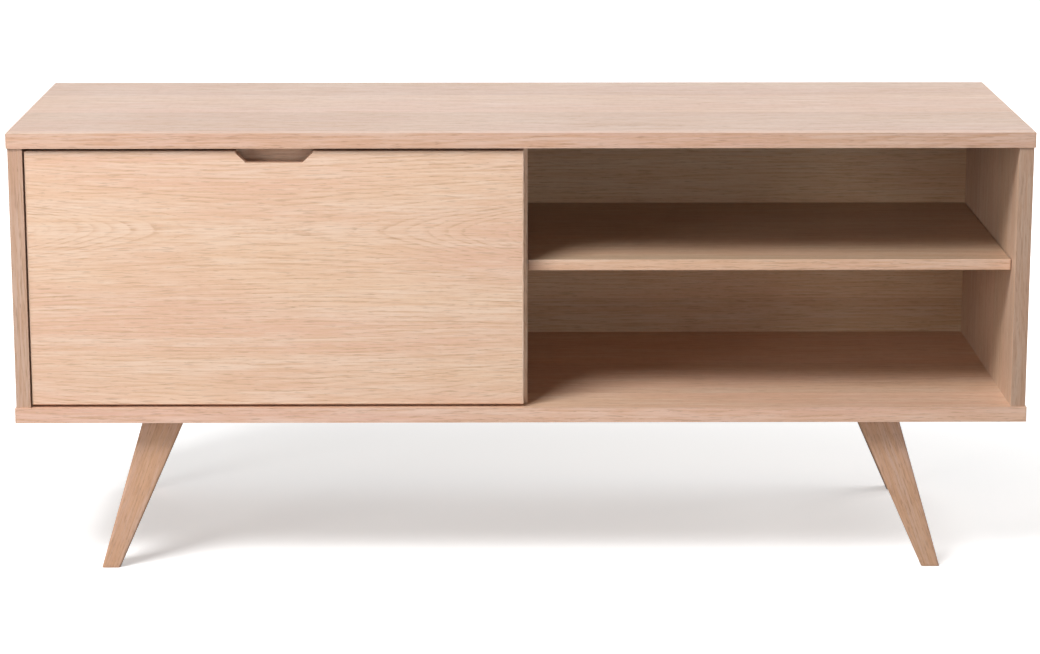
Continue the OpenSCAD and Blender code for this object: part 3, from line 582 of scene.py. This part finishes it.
def makeOakLeg(name, look):
    # solid oak: one piece of wood, so the rings run straight through it along the rake
    material, tree, shader, place = newMaterial("oak_" + name)
    low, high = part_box(name)
    rake = math.atan2(legFinish["lean"], high.z - low.z)
    turn = math.radians(90) + look["side"] * rake
    laid = turned(tree, place, (0.0, turn, 0.0), look["offset"])
    rings = useGroup(tree, growthRings, Place=laid, **legRings)
    fibre = useGroup(tree, woodFibre, Place=laid, Stretch=legFinish["stretch"],
                     PoreSize=legFinish["poreSize"])
    marks = useGroup(tree, handling, Place=place, Size=legFinish["clouds"])
    base = oakColour(tree, rings, fibre, 1.0, legFinish["contrast"], legFinish["figure"],
                     legTones)
    # the legs are darker within a few millimetres of the floor
    aboveFloor = split(tree, place)[2]
    rim = ramp(tree, aboveFloor, legFinish["footDarkHeight"], 0.0)
    base = mixColour(tree, calc(tree, "MULTIPLY", rim, legFinish["footDarkening"]), base,
                     colour(*legTones["dark"]))
    tree.links.new(base, shader.inputs["Base Color"])
    rough = calc(tree, "MULTIPLY_ADD", marks["Cloud"], legFinish["cloudRough"],
                 legFinish["rough"])
    rough = calc(tree, "MULTIPLY_ADD", fibre["Pore"], legFinish["poreRough"], rough)
    tree.links.new(rough, shader.inputs["Roughness"])
    height = calc(tree, "MULTIPLY_ADD", fibre["Pore"], legFinish["poreRise"], fibre["Streak"])
    height = calc(tree, "MULTIPLY_ADD", rings["Line"], legFinish["ringRise"], height)
    bumped(tree, shader, height, legFinish["relief"])
    return material


# beech dowels

beechLook = {
    "tone": (0.62, 0.42, 0.25), "shade": (0.85, 1.08), "streaks": (0.35, 0.7),
    "fleck": (0.42, 0.25, 0.13), "flecks": 0.7, "stretch": 0.4, "poreSize": 0.8,
    "rough": 0.58, "streakRough": 0.1, "relief": 0.0001,
}


def makeBeech():
    material, tree, shader, place = newMaterial("beech_dowel")
    laid = turned(tree, place, grainTurn["upright"])
    fibre = useGroup(tree, woodFibre, Place=laid, Stretch=beechLook["stretch"],
                     PoreSize=beechLook["poreSize"])
    darker, paler = (tinted(beechLook["tone"], shade) for shade in beechLook["shade"])
    base = mixColour(tree, ramp(tree, fibre["Streak"], *beechLook["streaks"]), darker, paler)
    base = mixColour(tree, calc(tree, "MULTIPLY", fibre["Fleck"], beechLook["flecks"]), base,
                     colour(*beechLook["fleck"]))
    tree.links.new(base, shader.inputs["Base Color"])
    rough = calc(tree, "MULTIPLY_ADD", fibre["Streak"], beechLook["streakRough"],
                 beechLook["rough"])
    tree.links.new(rough, shader.inputs["Roughness"])
    bumped(tree, shader, fibre["Streak"], beechLook["relief"])
    return material


# metal

metalLooks = {
    "zinc_plate": {"tone": (0.60, 0.615, 0.64), "cloud": (0.47, 0.48, 0.49), "rough": 0.30},
    "nickel_plate": {"tone": (0.66, 0.64, 0.59), "cloud": (0.52, 0.50, 0.46), "rough": 0.24},
}

platedFinish = {
    "mottle": (0.35, 0.7), "pits": 0.5, "pitShade": 0.5, "pitRise": -0.8, "relief": 0.00002,
    "clouds": 45.0, "cloudRough": 0.14, "grainRough": 0.08,
}


def makePlated(name, look):
    material, tree, shader, place = newMaterial(name)
    surface = useGroup(tree, plating, Place=place)
    marks = useGroup(tree, handling, Place=place, Size=platedFinish["clouds"])
    mottle = ramp(tree, surface["Tone"], *platedFinish["mottle"])
    base = mixColour(tree, mottle, colour(*look["tone"]), colour(*look["cloud"]))
    base = mixColour(tree, calc(tree, "MULTIPLY", surface["Pit"], platedFinish["pits"]), base,
                     tinted(look["cloud"], platedFinish["pitShade"]))
    tree.links.new(base, shader.inputs["Base Color"])
    shader.inputs["Metallic"].default_value = 1.0
    rough = calc(tree, "MULTIPLY_ADD", marks["Cloud"], platedFinish["cloudRough"],
                 look["rough"])
    rough = calc(tree, "MULTIPLY_ADD", surface["Grain"], platedFinish["grainRough"], rough)
    tree.links.new(rough, shader.inputs["Roughness"])
    height = calc(tree, "MULTIPLY_ADD", surface["Pit"], platedFinish["pitRise"],
                  surface["Grain"])
    bumped(tree, shader, height, platedFinish["relief"])
    return material


# plastic, rubber and magnet

smallLooks = {
    "catch_plastic": {"tone": (0.74, 0.72, 0.67), "shade": (0.66, 0.63, 0.57), "rough": 0.42,
                      "size": 900.0, "depth": 0.00004},
    "bumper_rubber": {"tone": (0.66, 0.62, 0.55), "shade": (0.56, 0.52, 0.46), "rough": 0.24,
                      "size": 300.0, "depth": 0.00003},
    "catch_ferrite": {"tone": (0.045, 0.045, 0.050), "shade": (0.090, 0.088, 0.085),
                      "rough": 0.62, "size": 1600.0, "depth": 0.00006},
}

smallFinish = {"skin": (0.3, 0.7), "clouds": 60.0, "cloudRough": 0.12, "dust": 0.3,
               "dustShade": 0.8}


def makeSmall(name, look):
    material, tree, shader, place = newMaterial(name)
    marks = useGroup(tree, handling, Place=place, Size=smallFinish["clouds"])
    skin = noise(tree, place, look["size"], 3.0, 0.6)
    base = mixColour(tree, ramp(tree, skin, *smallFinish["skin"]), colour(*look["tone"]),
                     colour(*look["shade"]))
    base = mixColour(tree, calc(tree, "MULTIPLY", marks["Dust"], smallFinish["dust"]), base,
                     tinted(look["shade"], smallFinish["dustShade"]))
    tree.links.new(base, shader.inputs["Base Color"])
    rough = calc(tree, "MULTIPLY_ADD", marks["Cloud"], smallFinish["cloudRough"], look["rough"])
    tree.links.new(rough, shader.inputs["Roughness"])
    bumped(tree, shader, skin, look["depth"])
    return material


# put the finishes on the parts

edgeRounding = {"weld": 0.000002, "angle": 40}  # metres, degrees


def finishPart(name, material, edgeRadius=0.0, segments=3):
    part = cadNodes[name]
    part.data.materials.clear()
    part.data.materials.append(material)
    for face in part.data.polygons:
        face.material_index = 0
    if edgeRadius:
        weld = part.modifiers.new("weld", "WELD")
        weld.merge_threshold = edgeRounding["weld"]
        bevel = part.modifiers.new("softEdge", "BEVEL")
        bevel.width = edgeRadius
        bevel.segments = segments
        bevel.limit_method = "ANGLE"
        bevel.angle_limit = math.radians(edgeRounding["angle"])


boardRadius = {"top_panel": 0.0009, "bottom_panel": 0.0008, "left_side": 0.0007,
               "right_side": 0.0007, "divider": 0.0007, "shelf": 0.0008, "door": 0.0010,
               "stop_rail": 0.0006, "back_panel": 0.0003}

for name, look in boardLooks.items():
    finishPart(name, makeOakBoard(name, look), boardRadius[name])
for name, look in legLooks.items():
    finishPart(name, makeOakLeg(name, look))
print("oak done")

beech = makeBeech()
zinc = makePlated("zinc_plate", metalLooks["zinc_plate"])
nickel = makePlated("nickel_plate", metalLooks["nickel_plate"])
smallMaterials = {name: makeSmall(name, look) for name, look in smallLooks.items()}

slotMaterials = {
    "beech": beech,
    "zinc_plated_steel": zinc,
    "nickel_plated_steel": nickel,
    "white_plastic": smallMaterials["catch_plastic"],
    "clear_rubber": smallMaterials["bumper_rubber"],
    "magnet": smallMaterials["catch_ferrite"],
}
fittingRadius = {"catch_housing": 0.0008, "stay_arm": 0.0003, "stay_door_bracket": 0.0003,
                 "stay_side_plate": 0.0003, "catch_strike": 0.0002}
for entry in frame["record"]["subparts"]:
    name = entry["node"]
    if name not in boardLooks and name not in legLooks:
        finishPart(name, slotMaterials[entry["material_slot"]], fittingRadius.get(name, 0.0),
                   segments=2)
print("fittings done")


# floor, light and camera

floorLook = {
    "size": 30.0, "below": 0.0004,           # metres
    "tones": (0.90, 0.94), "bounce": 0.45,   # as seen, and as it lights the cabinet from below
    "grit": 40.0, "rough": 0.85, "shine": 0.1,
    "glow": (0.42, 1.1),                     # painted glow, near the cabinet and far from it
    "reach": (0.5, 2.4), "spread": (1.0, 1.6, 0.0),
}


def makeFloor():
    mesh = bpy.data.meshes.new("floor")
    half = floorLook["size"] / 2
    corners = [(-half, -half, 0), (half, -half, 0), (half, half, 0), (-half, half, 0)]
    mesh.from_pydata(corners, [], [(0, 1, 2, 3)])
    floor = bpy.data.objects.new("floor", mesh)
    bpy.context.scene.collection.objects.link(floor)
    floor.location.z = -floorLook["below"]
    material, tree, shader, place = newMaterial("studio_floor")
    rays = tree.nodes.new("ShaderNodeLightPath")
    seen = rays.outputs["Is Camera Ray"]
    grit = noise(tree, place, floorLook["grit"], 4.0)
    darker, paler, bounce = (
        colour(tone, tone, tone) for tone in (*floorLook["tones"], floorLook["bounce"]))
    pale = mixColour(tree, grit, darker, paler)
    tree.links.new(mixColour(tree, seen, bounce, pale), shader.inputs["Base Color"])
    shader.inputs["Roughness"].default_value = floorLook["rough"]
    shader.inputs["Specular IOR Level"].default_value = floorLook["shine"]
    # painted light: the floor glows for the camera, dim near the cabinet and bright away from it,
    # lifting its cast shadows and whitening it
    away = vectorCalc(tree, "LENGTH",
                      vectorCalc(tree, "MULTIPLY", place, floorLook["spread"]))
    glow = ramp(tree, away, *floorLook["reach"], *floorLook["glow"])
    shader.inputs["Emission Color"].default_value = colour(1.0, 1.0, 1.0)
    tree.links.new(calc(tree, "MULTIPLY", glow, seen), shader.inputs["Emission Strength"])
    mesh.materials.append(material)


lamps = {
    "key": {"place": (-1.5, -1.9, 3.0), "aim": (0.0, -0.1, 0.3), "size": (1.6, 1.2),
            "power": 128},
    "side": {"place": (-2.6, -2.6, 1.1), "aim": (0.0, -0.1, 0.3), "size": (1.2, 1.2),
             "power": 28},
    "fill": {"place": (1.1, -4.4, 0.75), "aim": (0.1, 0.0, 0.35), "size": (2.2, 1.0),
             "power": 18},
    "above": {"place": (1.7, 0.7, 2.2), "aim": (0.5, 0.1, 0.5), "size": (2.0, 1.4),
              "power": 24},
    "rear": {"place": (0.0, 3.6, 1.3), "aim": (0.0, 0.1, 0.5), "size": (5.0, 1.8),
             "power": 26},
    "right": {"place": (3.4, 0.6, 1.3), "aim": (0.6, 0.1, 0.3), "size": (1.6, 1.2),
              "power": 24},
}


def aimed(place, aim):
    return (Vector(aim) - Vector(place)).to_track_quat("-Z", "Y").to_euler()


def makeLamps():
    for name, look in lamps.items():
        light = bpy.data.lights.new(name, "AREA")
        light.shape = "RECTANGLE"
        light.size, light.size_y = look["size"]
        light.energy = look["power"]
        lamp = bpy.data.objects.new(name, light)
        lamp.location = look["place"]
        lamp.rotation_euler = aimed(look["place"], look["aim"])
        lamp.visible_camera = False
        bpy.context.scene.collection.objects.link(lamp)


roomLook = {"seen": 1.0, "ambient": 0.02}


def makeRoom():
    # a white room to look at and in reflections, with less of it in the ambient light
    world = bpy.data.worlds.new("room")
    world.use_nodes = True
    tree = world.node_tree
    tree.nodes.clear()
    rays = tree.nodes.new("ShaderNodeLightPath")
    seen = calc(tree, "MAXIMUM", rays.outputs["Is Camera Ray"], rays.outputs["Is Glossy Ray"])
    strength = ramp(tree, seen, 0.0, 1.0, roomLook["ambient"], roomLook["seen"])
    background = tree.nodes.new("ShaderNodeBackground")
    background.inputs["Color"].default_value = colour(1.0, 1.0, 1.0)
    tree.links.new(strength, background.inputs["Strength"])
    out = tree.nodes.new("ShaderNodeOutputWorld")
    tree.links.new(background.outputs[0], out.inputs["Surface"])
    bpy.context.scene.world = world


# metres, degrees down and round, millimetres of lens, and the small drop of the frame
cameraLook = {"place": (-0.0226, -3.600, 1.0998), "down": 11.975, "turn": -0.355,
              "lens": 102.5, "rise": -0.06}


def makeCamera():
    data = bpy.data.cameras.new("camera")
    data.sensor_width = 36.0
    data.sensor_fit = "HORIZONTAL"
    data.lens = cameraLook["lens"]
    data.shift_y = cameraLook["rise"]
    data.clip_end = 100.0
    camera = bpy.data.objects.new("camera", data)
    camera.location = cameraLook["place"]
    camera.rotation_euler = Euler((math.radians(90 - cameraLook["down"]), 0.0,
                                   math.radians(cameraLook["turn"])))
    bpy.context.scene.collection.objects.link(camera)
    bpy.context.scene.camera = camera


makeFloor()
makeLamps()
makeRoom()
makeCamera()
bpy.context.scene.view_settings.view_transform = "Standard"
bpy.context.scene.view_settings.look = "None"
print("stage set")
